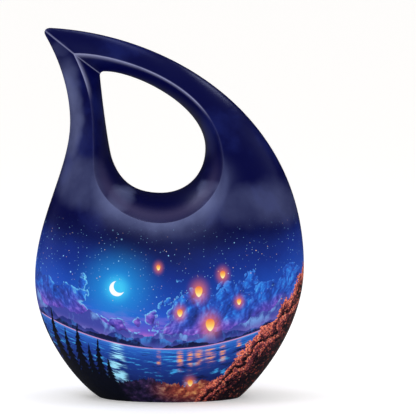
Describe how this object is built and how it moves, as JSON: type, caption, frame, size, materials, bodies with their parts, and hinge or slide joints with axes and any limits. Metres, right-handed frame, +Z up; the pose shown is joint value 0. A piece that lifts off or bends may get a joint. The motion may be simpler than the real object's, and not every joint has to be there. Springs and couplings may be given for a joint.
{
  "type": "teardrop cremation urn",
  "caption": "Teardrop cremation urn with a pointed loop handle around a teardrop opening, satin navy paint, a printed night scene round the body and a screw-in stopper underneath.",
  "frame": {"origin": "centre of the outer box at table height, under the middle of the oval foot", "axes": "+X across the urn towards the full side, with the tip leaning to -X; +Y from the front to the back; +Z up, along the urn's height"},
  "size_m": [0.2182, 0.1258, 0.2998],
  "materials": {
    "navy_enamel": "satin navy enamel, with a printed night landscape on the body below the handle",
    "stopper_metal": "turned, lightly brushed"
  },
  "bodies": {
    "root": {"urn_body": "navy_enamel", "base_stopper": "stopper_metal"}
  },
  "joints": []
}
